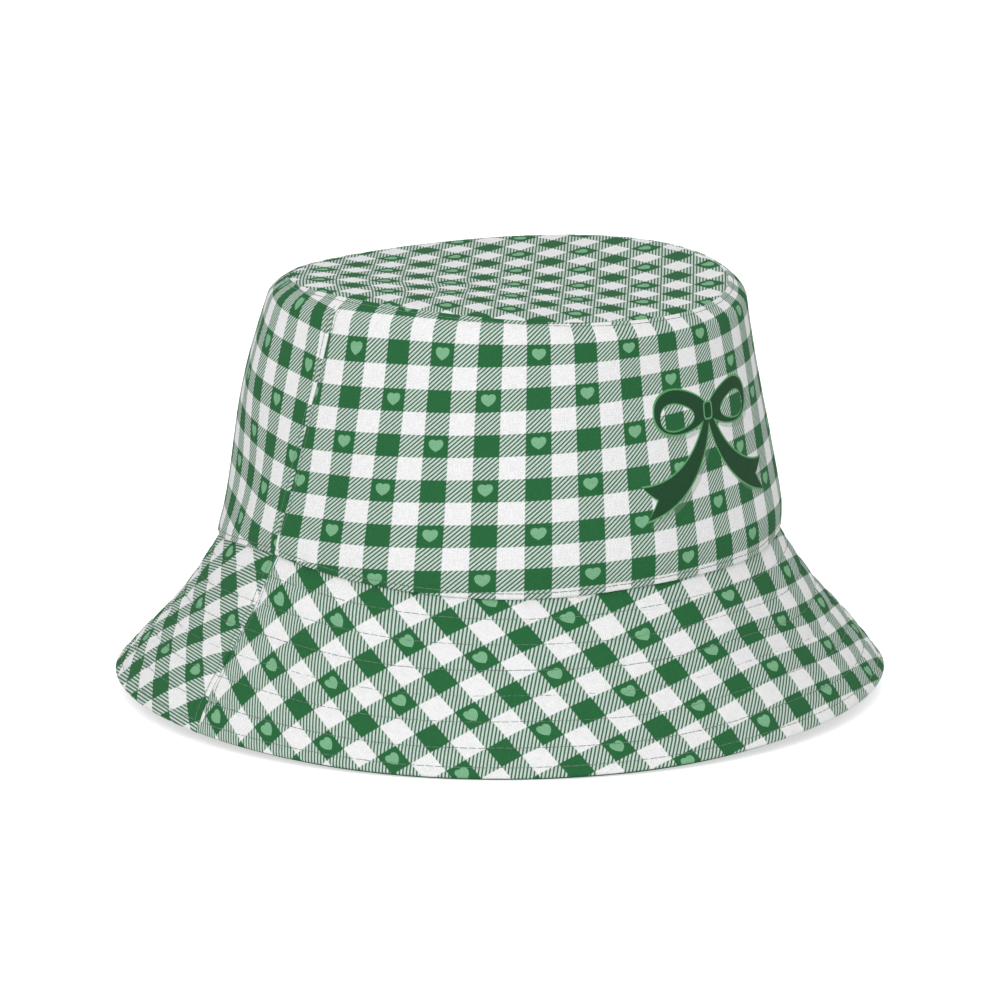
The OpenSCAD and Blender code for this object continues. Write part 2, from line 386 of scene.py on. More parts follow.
def top_sag(right, away):
    """Height the crown top loses or gains, for a place as shares of the seam's radius."""
    inside = np.clip(1 - right**2 - away**2, 0, 1)
    tilt = 1.1 * right + 1.5 * away
    trough = 3 * right * away + 3.1 * away**2
    return inside * (trough - tilt - DOME_H - TOP_DIP)


def seam_lift(right, away, height):
    """How far the crown seam and the cloth near it rise: a saddle on a slight tilt."""
    size = np.maximum(1, np.hypot(right, away))
    right, away = right / size, away / size
    saddle = 2 * SEAM_SADDLE * right * away
    return smooth_step(height, 0.7, 1) * (saddle + SEAM_TILT * (away - right))


def rise(angle, height, reach, right, away):
    """How far a point of the straight hat is lifted."""
    turn = np.cos(2 * (angle - VIEW_ANGLE))
    edge = EDGE_WAVE * (1 - reach**2 * turn)
    bell = FLARE_RISE * (1 - turn) / 2 * hump(reach - 0.72, 0.28)
    foot = foot_shift(angle) * foot_share(height, reach)
    crown = top_sag(right, away) + seam_lift(right, away, height)
    roll = BRIM_ROLL_H * BRIM_ROLL(angle) * 4 * reach * (1 - reach)
    return FLOOR_GAP + edge + bell + foot + crown + roll


def swell(angle, height, reach):
    """How far the wall stands out from the straight hat's."""
    shallow = np.sin(math.pi * height) * WALL_DENTS[0](angle)
    deep = np.sin(2 * math.pi * height) * WALL_DENTS[1](angle)
    return WALL_DENT * (shallow + deep) + left_swell(angle, height) * (1 - reach)


def drape(points):
    """Moves points of the straight hat to where they lie on the soft one."""
    z = points[..., 2]
    radius = np.hypot(points[..., 0], points[..., 1])
    angle = np.arctan2(points[..., 0], -points[..., 1])
    height = np.clip((z - BRIM_SEAM_Z) / CROWN_H, 0, 1)
    reach = np.clip((radius - BASE_R + TUCK) / (BRIM_R - BASE_R + TUCK), 0, 1)
    right = points[..., :2] @ IMAGE_RIGHT / SEAM_R
    away = points[..., :2] @ IMAGE_AWAY / SEAM_R
    out = radius * (1 - SEAM_PULL * smooth_step(height, 0.93, 1))
    out = out + swell(angle, height, reach) * np.minimum(1, radius / SEAM_R) ** 2
    out = out - BRIM_DRAW * reach * around(angle, 70, 38)
    turned_angle = angle + side_twist(angle, height, reach)
    lean = LEAN * height**1.2
    x = out * np.sin(turned_angle) + lean * IMAGE_RIGHT[0]
    y = -out * np.cos(turned_angle) + lean * IMAGE_RIGHT[1]
    return np.stack([x, y, z + rise(angle, height, reach, right, away)], axis=-1)


def place(line, s, angle, depth, relief):
    """Draped points of a layer, from its place on a line and its angle round the hat."""
    r, z = line.at(s, depth - relief(s, angle, depth))
    return drape(np.stack([r * np.sin(angle), -r * np.cos(angle), z + 0 * angle], axis=-1))


# ---------------------------------------- meshes


def add_piece(name, points, faces, layers):
    """Makes a mesh object of points in millimetres, with one UV layer per entry of layers."""
    mesh = bpy.data.meshes.new(name)
    mesh.from_pydata((points * MM).tolist(), [], faces)
    corner_points = np.zeros(len(mesh.loops), np.int32)
    mesh.loops.foreach_get("vertex_index", corner_points)
    for layer_name, uv in layers.items():
        layer = mesh.uv_layers.new(name=layer_name)
        layer.data.foreach_set("uv", uv[corner_points].astype(np.float32).ravel())
    mesh.polygons.foreach_set("use_smooth", [True] * len(mesh.polygons))
    piece = bpy.data.objects.new(name, mesh)
    bpy.context.scene.collection.objects.link(piece)
    return piece


def face_outwards(piece, merge=0.0):
    """Joins points closer than merge and turns every face outwards."""
    shape = bmesh.new()
    shape.from_mesh(piece.data)
    if merge:
        bmesh.ops.remove_doubles(shape, verts=shape.verts, dist=merge)
    bmesh.ops.recalc_face_normals(shape, faces=shape.faces)
    shape.to_mesh(piece.data)
    shape.free()
    piece.data.set_sharp_from_angle(angle=math.radians(60))


CAP_ANGLES = np.radians([0, 35, 65])  # points of a sheet's rounded edge
FIRST_SPACING = math.radians(0.16)  # angle between the first two columns beside a side seam
SPACING_GROWTH = 1.13  # and how it grows from one to the next


def sheet_section(start, end, outer, inner, step=STEP):
    """Closed outline of a sheet as (s, depth), from its start's tip over the outer face to its
    end's tip and back under it. outer and inner give the faces' depths at s."""
    s = np.linspace(start, end, int(round((end - start) / step)) + 1)

    def rounded_end(at, inwards):
        half = (inner(at) - outer(at)) / 2
        centre_s = at + inwards * half
        centre_d = (inner(at) + outer(at)) / 2
        out_arc = [
            (centre_s - inwards * half * math.cos(a), centre_d - half * math.sin(a))
            for a in CAP_ANGLES
        ]
        return half, out_arc, centre_d

    half0, arc0, middle0 = rounded_end(start, 1)
    half1, arc1, middle1 = rounded_end(end, -1)
    body = s[(s > start + half0 * 0.99) & (s < end - half1 * 0.99)]
    over = arc0 + [(v, outer(v)) for v in body] + arc1[::-1]
    under = [(v, 2 * middle0 - d) for v, d in arc0[1:]]
    under += [(v, inner(v)) for v in body]
    under += [(v, 2 * middle1 - d) for v, d in arc1[1:][::-1]]
    return np.array(over + under[::-1])


def half_angles(middle, hold_back, step):
    """Angles across a half panel, closest together beside the side seams."""
    offsets = [hold_back]
    spacing = FIRST_SPACING
    while offsets[-1] + spacing < math.pi / 2:
        offsets.append(offsets[-1] + spacing)
        spacing = min(spacing * SPACING_GROWTH, step)
    offsets = np.array(offsets)
    left = middle - math.pi / 2 + offsets
    right = middle + math.pi / 2 - offsets[::-1]
    return np.concatenate([left, right])


def loft(name, line, section, angles, relief, uv, ring=False):
    """A closed sheet: a section swept round the hat. A half panel gets its two ends closed."""
    s, depth = section[:, 0], section[:, 1]
    grid = place(line, s[None, :], angles[:, None], depth[None, :], relief)
    columns, rows = grid.shape[:2]
    index = np.arange(columns * rows).reshape(columns, rows)
    right = np.roll(index, -1, axis=0) if ring else index[1:]
    here = index if ring else index[:-1]
    if not ring:
        quads = [here, right, np.roll(right, -1, axis=1), np.roll(here, -1, axis=1)]
    else:
        quads = [here[:, :-1], right[:, :-1], right[:, 1:], here[:, 1:]]
    faces = np.stack(quads, axis=-1).reshape(-1, 4).tolist()
    if not ring:
        for column in (index[0], index[-1]):
            faces += end_cap(column)
    layers = {}
    for layer_name, formula in uv.items():
        flat_s = np.broadcast_to(s[None, :], (columns, rows))
        flat_angle = np.broadcast_to(angles[:, None], (columns, rows))
        layers[layer_name] = np.stack(formula(flat_s, flat_angle), axis=-1).reshape(-1, 2)
    piece = add_piece(name, grid.reshape(-1, 3), faces, layers)
    face_outwards(piece, merge=1e-7 if ring else 0.0)
    return piece


def end_cap(column):
    """Faces that close one end of a half panel, between its outer and its inner face."""
    count = len(column)
    column = column.tolist()
    faces = []
    for i in range(1, (count - 1) // 2):
        faces.append([column[i], column[i + 1], column[count - i - 1], column[count - i]])
    faces.append([column[0], column[1], column[count - 1]])
    return faces


# ---------------------------------------- print placement

CHECK = 14.6  # distance between two dark bands of the gingham
TOP_PRINT = (-1.74, -1.54)  # place of the crown top's middle on the print
TOP_SCALE = (0.83, 0.874)  # scale of the print there, across and along
TOP_SLANT = 0.146  # and how far its rows slant
RING_SHARE = 0.634  # angle a brim panel is cut with, as a share of the angle it takes when sewn
RING_R = 98.5  # radius of its seam when it is cut flat
RING_STRETCH = (1.02, 0.97)  # stretch of the cloth across and down the brim


def turned(x, y, degrees):
    a = math.radians(degrees)
    return x * math.cos(a) + y * math.sin(a), -x * math.sin(a) + y * math.cos(a)


def brim_print(middle, u0, v0, turn, stretch=0.0):
    """The print on a brim panel, which is cut flat as part of a wide ring and then bent round.
    u0, v0 and turn place it on the cloth, and stretch pulls it out away from the middle."""
    across, down = RING_STRETCH

    def formula(s, angle):
        bent = RING_SHARE * (angle - middle)
        x = across * (RING_R + s) * np.sin(bent)
        y = down * (RING_R - (RING_R + s) * np.cos(bent))
        u, v = turned(x, y, turn)
        pulled = stretch * np.minimum(angle - middle, 0.5) ** 2
        return u0 + u / CHECK - pulled, v0 + v / CHECK

    return formula


def wall_print(middle, u0, z0, rise, column, row):
    """The print on a wall panel: columns run up the hat, so many degrees apart, and rows so many
    millimetres. u0 and z0 place it and rise slants its rows. It stays level where the panel's
    edges are pulled up, down or aside."""
    zero = WALL.s_at_height(z0)

    def formula(s, angle):
        height = np.clip((WALL.at(s, 0)[1] - BRIM_SEAM_Z) / CROWN_H, 0, 1)
        place_round = angle + side_twist(angle, height, 0)
        place_up = s + foot_shift(angle) * foot_share(height, 0)
        u = u0 + (place_round - middle) / math.radians(column)
        return u, (place_up - zero - rise * u) / row

    return formula


def top_print(s, angle):
    """The print on the crown top, seen from above with the front below."""
    x, y = s * np.sin(angle) / CHECK, -s * np.cos(angle) / CHECK
    return TOP_PRINT[0] + TOP_SCALE[0] * x, TOP_PRINT[1] + TOP_SCALE[1] * y - TOP_SLANT * x


BOW_ANGLE = math.radians(10.8)  # place of the bow's knot round the hat
BOW_Z = 104.8  # and up it
BOW_R = 86.0  # radius of the wall where the bow is printed


def bow_place(s, angle):
    """Place on the front wall in millimetres from the bow's knot."""
    return (angle - BOW_ANGLE) * BOW_R, s - WALL.s_at_height(BOW_Z)


def plain_cloth(s, angle):
    """Weave placement in checks, for cloth with no print."""
    return angle * BASE_R / CHECK, s / CHECK


# ---------------------------------------- materials


class Signal:
    """A number inside a node tree. Arithmetic on it adds Math nodes."""

    def __init__(self, tree, socket):
        self.tree = tree
        self.socket = socket

    def math(self, operation, *others):
        node = self.tree.nodes.new("ShaderNodeMath")
        node.operation = operation
        for slot, value in zip(node.inputs, (self, *others)):
            if isinstance(value, Signal):
                self.tree.links.new(value.socket, slot)
            else:
                slot.default_value = value
        return Signal(self.tree, node.outputs[0])

    def __add__(self, other):
        return self.math("ADD", other)

    def __sub__(self, other):
        return self.math("SUBTRACT", other)

    def __rsub__(self, other):
        return self.math("MULTIPLY", -1.0) + other

    def __mul__(self, other):
        return self.math("MULTIPLY", other)

    def __truediv__(self, other):
        return self.math("DIVIDE", other)

    def __abs__(self):
        return self.math("ABSOLUTE")

    def __pow__(self, other):
        return self.math("POWER", other)

    def below(self, limit, softness):
        """1 where this is under limit, 0 where it is over, with a soft edge."""
        ramp = (limit - self) / softness + 0.5
        return ramp.clipped()

    def clipped(self):
        return self.math("MAXIMUM", 0.0).math("MINIMUM", 1.0)

    def root(self):
        return self.math("MAXIMUM", 0.0).math("SQRT")

    def wave(self):
        return self.math("SINE")

    def from_nearest(self):
        """Distance from the nearest whole number, with its sign."""
        return (self + 0.5).math("FRACT") - 0.5

    def either(self, other):
        return self.math("MAXIMUM", other)


def linear(red, green, blue):
    """A colour given as 0 to 255 on screen, as linear light."""

    def channel(value):
        value /= 255
        return value / 12.92 if value <= 0.04045 else ((value + 0.055) / 1.055) ** 2.4

    return channel(red), channel(green), channel(blue), 1.0


def mixed(tree, first, second, share):
    """Colour that goes from first to second as share goes from 0 to 1."""
    node = tree.nodes.new("ShaderNodeMix")
    node.data_type = "RGBA"
    tree.links.new(share.socket, node.inputs["Factor"])
    for slot, colour in ((node.inputs[6], first), (node.inputs[7], second)):
        if isinstance(colour, tuple):
            slot.default_value = colour
        else:
            tree.links.new(colour, slot)
    return node.outputs[2]


def new_material(name):
    material = bpy.data.materials.new(name)
    material.use_nodes = True
    return material, material.node_tree, material.node_tree.nodes["Principled BSDF"]


def place_in(tree, layer):
    """The two coordinates of a UV layer."""
    uv = tree.nodes.new("ShaderNodeUVMap")
    uv.uv_map = layer
    split = tree.nodes.new("ShaderNodeSeparateXYZ")
    tree.links.new(uv.outputs["UV"], split.inputs[0])
    return Signal(tree, split.outputs[0]), Signal(tree, split.outputs[1])


def weave(u, v, threads):
    """Plain weave between -1 and 1, with so many threads to a check."""
    return (u * (math.pi * threads)).wave() * (v * (math.pi * threads)).wave()


def uneven_threads(tree, u, v):
    """Noise from 0 to 1 drawn out along the threads of both directions."""
    parts = []
    for scale_u, scale_v in ((60, 5), (5, 60)):
        vector = tree.nodes.new("ShaderNodeCombineXYZ")
        tree.links.new((u * scale_u).socket, vector.inputs[0])
        tree.links.new((v * scale_v).socket, vector.inputs[1])
        noise = tree.nodes.new("ShaderNodeTexNoise")
        noise.inputs["Scale"].default_value = 1.0
        noise.inputs["Detail"].default_value = 1.0
        tree.links.new(vector.outputs[0], noise.inputs["Vector"])
        parts.append(Signal(tree, noise.outputs["Fac"]))
    return ((parts[0] + parts[1] - 1) * 1.6 + 0.5).clipped()


def finish_cloth(tree, shader, colour, height, roughness, bump_mm):
    """Links a colour, a bump of the given height and a roughness that follows it."""
    tree.links.new(colour, shader.inputs["Base Color"])
    tree.links.new((height * 0.05 + roughness).socket, shader.inputs["Roughness"])
    shader.inputs["Specular IOR Level"].default_value = 0.25
    bump = tree.nodes.new("ShaderNodeBump")
    bump.inputs["Strength"].default_value = 0.6
    bump.inputs["Distance"].default_value = bump_mm * MM
    tree.links.new(height.socket, bump.inputs["Height"])
    tree.links.new(bump.outputs["Normal"], shader.inputs["Normal"])


BLACK = linear(0, 0, 0)
GREEN = linear(34, 102, 56)
HEART = linear(124, 179, 138)
WHITE = linear(240, 240, 240)
STRIPE = linear(56, 102, 74)
STRIPE_GROUND = linear(206, 220, 211)
BOW_FILL = linear(28, 72, 42)
BOW_EDGE = linear(95, 165, 105)
SHADOW = linear(120, 140, 126)
LINING_GREEN = linear(62, 122, 84)

BAND_HALF = 0.25  # half width of a dark band, in checks
EDGE_SOFT = 0.02  # softness of its edges
STRIPE_PITCH = 0.1
STRIPE_HALF = 0.235  # half width of a stripe, as a share of that pitch
HEART_W, HEART_H = 0.129, 0.124
HEART_NOTCH = 0.667  # power that shapes the heart's notch and lobes
WEAVE_THREADS = 40  # threads to a check


def gingham(tree, u, v):
    """Green check on white with striped crossings, and a heart in every second dark square."""
    u_off, v_off = u.from_nearest(), v.from_nearest()
    in_u = abs(u_off).below(BAND_HALF, EDGE_SOFT)
    in_v = abs(v_off).below(BAND_HALF, EDGE_SOFT)
    stripe = abs(((u - v) / STRIPE_PITCH).from_nearest()).below(STRIPE_HALF, 0.16)
    striped = mixed(tree, STRIPE_GROUND, STRIPE, stripe)
    x, y = u_off / HEART_W, v_off / HEART_H
    heart = (x * x + y * y - (abs(x) ** HEART_NOTCH) * y).below(1.0, 0.16)
    odd = abs((((u - u_off) + (v - v_off)) / 2).from_nearest())
    heart = heart * odd.below(0.25, 0.1)
    ground = mixed(tree, WHITE, striped, in_u.either(in_v))
    dark = mixed(tree, GREEN, HEART, heart)
    return mixed(tree, ground, dark, in_u * in_v)


TAIL_CENTRE = (34.5, 7.6)  # centre of the tail's bend, from the knot
TAIL_BEND = 35.0  # radius of its bend
TAIL_START = math.radians(16)  # angle of its upper end round that centre
TAIL_LENGTH = 41.5
TAIL_HALF = 1.2  # half width at the knot
TAIL_WIDENS = 4.3  # how much the half width grows to the end
TAIL_NOTCH = 5.0  # depth of the notch in the end
LOOP = (24.5, 7.4, 5)  # length, half width and angle of a bow's loop
LOOP_HOLE = (15, 4.3, 4)  # the same of the opening in it
HOLE_PLACE = (7, -1)  # where that opening starts, from the knot
KNOT = (1.7, 2.6)  # half width and half height of the knot
OUTLINE = 0.6  # width of the bow's light outline


def petal(x, y, length, half_width, degrees, grow):
    """Mask of a loop of ribbon that leaves the knot at an angle, made bigger by grow."""
    a = math.radians(degrees)
    along = (x * math.cos(a) + y * math.sin(a)) / length
    across = y * math.cos(a) - x * math.sin(a)
    width = (along * (1 - along * along * along)).root() * (half_width * 1.45) + grow
    inside = along.below(1.0, 0.02) * (along.below(0.0, 0.02) * -1 + 1)
    return (abs(across) - width).below(0.0, 0.25) * inside


def tail(x, y, grow):
    """Mask of a ribbon's tail: it bends outwards round a centre, widens and ends in a notch."""
    dx, dy = TAIL_CENTRE[0] - x, TAIL_CENTRE[1] - y
    along = (dy.math("ARCTAN2", dx) - TAIL_START) * TAIL_BEND
    across = abs((dx * dx + dy * dy).root() - TAIL_BEND)
    share = (along / TAIL_LENGTH).clipped()
    width = share * TAIL_WIDENS + (TAIL_HALF + grow)
    end = (TAIL_LENGTH + grow) - (1 - across / width) * TAIL_NOTCH
    inside = (along - end).below(0.0, 0.25) * (along.below(0.0, 0.5) * -1 + 1)
    return (across - width).below(0.0, 0.25) * inside


def bow_shape(x, y, grow):
    """Mask of the whole bow. The outline is the same shape, bigger by grow."""
    side = abs(x)
    length, half_width, degrees = LOOP
    return petal(side, y, length + grow, half_width, degrees, grow).either(tail(side, y, grow))


def knot(x, y, grow):
    """Mask of the knot, a square with rounded corners."""
    square = abs(x / (KNOT[0] + grow)) ** 4 + abs(y / (KNOT[1] + grow)) ** 4
    return square.below(1.0, 0.25)


def with_bow(tree, colour, x, y):
    """Prints a plain ribbon bow, with a light outline and a soft shadow, over a colour."""
    hole_x, hole_y = abs(x) - HOLE_PLACE[0], y - HOLE_PLACE[1]
    shade = bow_shape(x - 1.2, y + 1.6, OUTLINE) * 0.4
    ground = mixed(tree, colour, SHADOW, shade)
    bow = mixed(tree, ground, BOW_EDGE, bow_shape(x, y, OUTLINE))
    bow = mixed(tree, bow, BOW_FILL, bow_shape(x, y, 0.0))
    bow = mixed(tree, bow, BOW_EDGE, petal(hole_x, hole_y, *LOOP_HOLE, 0.5))
    bow = mixed(tree, bow, colour, petal(hole_x, hole_y, *LOOP_HOLE, 0.0))
    bow = mixed(tree, bow, BOW_EDGE, knot(x, y, OUTLINE))
    return mixed(tree, bow, BOW_FILL, knot(x, y, 0.0))


def printed_cotton(name, bow):
    """The printed outer cloth."""
    material, tree, shader = new_material(name)
    u, v = place_in(tree, "print")
    colour = gingham(tree, u, v)
    if bow:
        colour = with_bow(tree, colour, *place_in(tree, "bow"))
    threads = weave(u, v, WEAVE_THREADS)
    uneven = uneven_threads(tree, u, v)
    colour = mixed(tree, colour, BLACK, (threads * 0.5 + 0.5) * 0.07 + uneven * 0.16)
    finish_cloth(tree, shader, colour, threads + uneven, 0.82, 0.14)
    return material


def lining_cotton():
    """The plain dyed lining."""
    material, tree, shader = new_material("lining_cotton")
    u, v = place_in(tree, "print")
    threads = weave(u, v, WEAVE_THREADS)
    darker = tuple(0.8 * c for c in LINING_GREEN[:3]) + (1.0,)
    colour = mixed(tree, LINING_GREEN, darker, threads * 0.5 + 0.5)
    finish_cloth(tree, shader, colour, threads, 0.85, 0.12)
    return material


def felt():
    """The pressed fibre between the brim's two cloths."""
    material, tree, shader = new_material("interlining_felt")
    noise = tree.nodes.new("ShaderNodeTexNoise")
    noise.inputs["Scale"].default_value = 900
    noise.inputs["Detail"].default_value = 4
    fibres = Signal(tree, noise.outputs["Fac"])
    colour = mixed(tree, linear(226, 226, 222), linear(240, 240, 238), fibres)
    finish_cloth(tree, shader, colour, fibres, 0.88, 0.2)
    return material


def sewing_thread(name, colour):
    """Twisted thread: the twist runs round each stitch at an angle, with a painted highlight along
    its crests.
    """
    material, tree, shader = new_material(name)
    along, turn = place_in(tree, "twist")
    twist = ((along + turn) * (2 * math.pi)).wave()
    # Painted light and shade: the twist's crests are painted up to 1.5 times as light as the thread,
    # and its grooves keep the thread's own darker colour.
    painted_twist_highlight = tuple(min(1.0, 1.5 * c) for c in colour[:3]) + (1.0,)
    shade = mixed(tree, colour, painted_twist_highlight, twist * 0.5 + 0.5)
    finish_cloth(tree, shader, shade, twist, 0.55, 0.05)
    return material


# Each cloth or thread with the slot that it fills.
PRINTED = (printed_cotton("printed_cotton", bow=False), "printed_cloth")
PRINTED_BOW = (printed_cotton("printed_cotton_bow", bow=True), "printed_cloth")
LINING_CLOTH = (lining_cotton(), "lining_cloth")
FELT = (felt(), "interlining")
THREAD = (sewing_thread("sewing_thread", linear(98, 116, 104)), "thread")
BOBBIN_THREAD = (sewing_thread("bobbin_thread", linear(52, 96, 68)), "bobbin_thread")

# ---------------------------------------- cloth pieces


def stand_for(piece, node, cloth):
    """Puts a piece in the place of a CAD node, with a cloth or thread on it."""
    material, slot = cloth
    piece.data.materials.append(material)
    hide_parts(node)


def depth_with_fold(base, folded, starts, ends):
    """Depth of a sheet's inner face: deeper where its allowance is folded under it."""

    def depth(s):
        near_start = 1 - smooth_step(s, starts + ALLOWANCE - 0.6, starts + ALLOWANCE)
        near_end = smooth_step(s, ends - ALLOWANCE, ends - ALLOWANCE + 0.6)
        return base + (folded - base) * np.maximum(near_start, near_end)

    return depth


def constant(value):
    return lambda s: value


FINE = math.radians(0.72)  # widest angle between two columns of the outer cloth
COARSE = math.radians(1.3)  # and of the cloth inside
LINING_STEP = 1.0  # spacing of the points down the cloth inside
UNDER_START = 2.2  # where the brim's underside starts, down from its seam
NO_FOLD = -99  # start of a sheet whose upper edge isn't folded
FRONT, BACK = 0.0, math.pi


def bend_with_crown(piece):
    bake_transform(piece)


def add_panel(name, node, cloth, line, section, angles, relief, placement=plain_cloth):
    """Lofts a half panel and puts it in the place of its CAD node."""
    uv = {"print": placement}
    if cloth is PRINTED_BOW:
        uv["bow"] = bow_place
    piece = loft(name, line, section, angles, relief, uv)
    stand_for(piece, node, cloth)
    return piece


def outer_wall(side, middle, placement, cloth):
    inner = depth_with_fold(CLOTH, FOLDED, WALL.start, WALL.end)
    section = sheet_section(WALL.start, WALL.end, constant(0.0), inner)
    piece = add_panel(
        f"wall_cloth_{side}", f"outer_wall_{side}", cloth,
        WALL, section, half_angles(middle, SLIT, FINE), wall_relief, placement,
    )
    bend_with_crown(piece)


def outer_brim(side, middle, placement):
    inner = depth_with_fold(CLOTH, FOLDED, NO_FOLD, BRIM.end)
    section = sheet_section(BRIM.start, BRIM.end, constant(0.0), inner)
    piece = add_panel(
        f"brim_cloth_{side}", f"outer_brim_{side}", PRINTED,
        BRIM, section, half_angles(middle, SLIT, FINE), brim_relief, placement,
    )
    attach(piece, "hat_base")


def under_brim(side, middle):
    outer = depth_with_fold(LINING, LINING - CLOTH, UNDER_START - 2, BRIM.end)
    section = sheet_section(UNDER_START, BRIM.end - 0.4, outer, constant(INSIDE), LINING_STEP)
    piece = add_panel(
        f"under_brim_cloth_{side}", f"under_brim_{side}", LINING_CLOTH,
        BRIM, section, half_angles(middle, SLIT, COARSE), brim_relief,
    )
    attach(piece, "hat_base")


def brim_interlining(side, middle):
    outer, inner = constant(CLOTH + 1.5 * GAP), constant(LINING - 1.5 * GAP)
    section = sheet_section(ALLOWANCE + 1, BRIM.end - ALLOWANCE - 1, outer, inner, LINING_STEP)
    hold_back = (ALLOWANCE + 2) / BASE_R
    piece = add_panel(
        f"brim_felt_{side}", f"brim_interlining_{side}", FELT,
        BRIM, section, half_angles(middle, hold_back, COARSE), brim_relief,
    )
    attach(piece, "hat_base")


def lining_wall(side, middle):
    section = sheet_section(
        LINING_WALL.start, LINING_WALL.end, constant(0.0), constant(CLOTH), LINING_STEP
    )
    piece = add_panel(
        f"lining_cloth_{side}", f"lining_wall_{side}", LINING_CLOTH,
        LINING_WALL, section, half_angles(middle, SLIT, COARSE), lining_relief,
    )
    bend_with_crown(piece)


def disc_section(end, outer, inner, step=STEP):
    """Open outline of a round panel, from its middle over its rim and back under it."""
    s = np.linspace(0, end, int(round(end / step)) + 1)
    half = (inner(end) - outer(end)) / 2
    middle = (inner(end) + outer(end)) / 2
    body = s[s < end - half * 0.99]
    arc = [
        (end - half + half * math.cos(a), middle - half * math.sin(a))
        for a in np.radians([65, 35, 0, -35, -65])
    ]
    over = [(v, outer(v)) for v in body]
    under = [(v, inner(v)) for v in body]
    return np.array(over + arc + under[::-1])


def crown_tops():
    round_angles = np.arange(0, 2 * math.pi - 1e-6, math.radians(0.9))
    section = disc_section(TOP.end, constant(0.0), constant(CLOTH))
    outer = loft(
        "crown_top_cloth", TOP, section, round_angles, top_relief, {"print": top_print}, ring=True
    )
    stand_for(outer, "outer_crown_top", PRINTED)
    rim = SEAM_R - LINING_TOP_IN
    upper = depth_with_fold(LINING, LINING - CLOTH, NO_FOLD, rim)
    section = disc_section(rim, upper, constant(INSIDE), LINING_STEP)
    lining = loft(
        "lining_top_cloth", LINING_TOP, section, round_angles[::2], top_relief,
        {"print": top_print}, ring=True,
    )
    stand_for(lining, "lining_crown_top", LINING_CLOTH)
    for piece in (outer, lining):
        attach(piece, "crown_top")


# ---------------------------------------- stitches

STITCH_PITCH = 3.0
STITCH_GAP = 0.12  # gap between two stitches
THREAD_R = 0.12
SUNK = 0.1  # how far a stitch's ends dip into the cloth
SIDES = 5  # sides of a stitch's section
TWIST_PITCH = 0.6  # length of one turn of the thread's twist


class Path:
    """A stitch line on the draped cloth, as close points and the cloth's normals there."""

    def __init__(self, line, s, angle, depth, relief):
        s, angle = np.broadcast_arrays(s, angle)
        self.points = place(line, s, angle, depth, relief)
        below = place(line, s, angle, depth + 0.5, relief)
        self.normals = self.points - below
        self.normals /= np.linalg.norm(self.normals, axis=1)[:, None]


def ring_path(line, s, depth, relief):
    angle = np.linspace(0, 2 * math.pi, 1600)
    return Path(line, s, angle, depth, relief)


def climbing_path(line, start, end, angle, depth, relief):
    s = np.linspace(start, end, int((end - start) / 0.5) + 2)
    return Path(line, s, angle, depth, relief)


def stitches(path):
    """Points, faces and twist coordinates of every stitch along a path."""
    steps = np.linalg.norm(np.diff(path.points, axis=0), axis=1)
    at = np.concatenate([[0.0], np.cumsum(steps)])
    count = max(1, int(round(at[-1] / STITCH_PITCH)))
    pitch = at[-1] / count
    shares = np.array([0.0, 0.1, 0.9, 1.0])
    sizes = np.array([0.45, 1.0, 1.0, 0.45])
    sinks = np.array([-SUNK, 0.0, 0.0, -SUNK])
    where = (np.arange(count)[:, None] * pitch + STITCH_GAP / 2) + shares * (pitch - STITCH_GAP)

    def sampled(values, places):
        return np.stack([np.interp(places, at, values[:, i]) for i in range(3)], axis=-1)

    normal = sampled(path.normals, where)
    centre = sampled(path.points, where) + sinks[None, :, None] * normal
    ahead = sampled(path.points, np.minimum(where + 0.1, at[-1]))
    behind = sampled(path.points, np.maximum(where - 0.1, 0))
    side = np.cross(ahead - behind, normal)
    side /= np.linalg.norm(side, axis=-1)[..., None]
    turn = np.arange(SIDES) * 2 * math.pi / SIDES
    ring = np.cos(turn)[:, None] * normal[:, :, None, :] + np.sin(turn)[:, None] * side[:, :, None, :]
    points = centre[:, :, None, :] + THREAD_R * sizes[None, :, None, None] * ring
    tips = centre[:, [0, -1], :] + np.array([-SUNK, -SUNK])[None, :, None] * normal[:, [0, -1], :]
    points = np.concatenate([points.reshape(count, -1, 3), tips], axis=1)
    along = np.repeat(shares * pitch / TWIST_PITCH, SIDES)
    turns = np.tile(np.arange(SIDES) / SIDES, len(shares))
    along = np.append(along, [0, pitch / TWIST_PITCH])
    twist = np.stack([along, np.append(turns, [0, 0])], axis=-1)
    return points, stitch_faces(len(shares)), np.tile(twist, (count, 1))


def stitch_faces(rings):
    """Faces of one stitch whose rings come first and whose two tips come last."""
    faces = []
    for ring in range(rings - 1):
        for i in range(SIDES):
            j = (i + 1) % SIDES
            low, high = ring * SIDES, (ring + 1) * SIDES
            faces.append([low + i, low + j, high + j, high + i])
    first_tip, last_tip = rings * SIDES, rings * SIDES + 1
    last = (rings - 1) * SIDES
    for i in range(SIDES):
        j = (i + 1) % SIDES
        faces.append([j, i, first_tip])
        faces.append([last + i, last + j, last_tip])
    return faces


def seam(name, node, paths, thread=THREAD):
    """One piece with all the stitches of a thread node."""
    all_points, all_faces, all_twist = [], [], []
    offset = 0
    for path in paths:
        points, faces, twist = stitches(path)
        per_stitch = points.shape[1]
        for k in range(len(points)):
            start = offset + k * per_stitch
            all_faces += [[start + i for i in face] for face in faces]
        offset += len(points) * per_stitch
        all_points.append(points.reshape(-1, 3))
        all_twist.append(twist)
    piece = add_piece(name, np.vstack(all_points), all_faces, {"twist": np.vstack(all_twist)})
    face_outwards(piece)
    stand_for(piece, node, thread)
    return piece


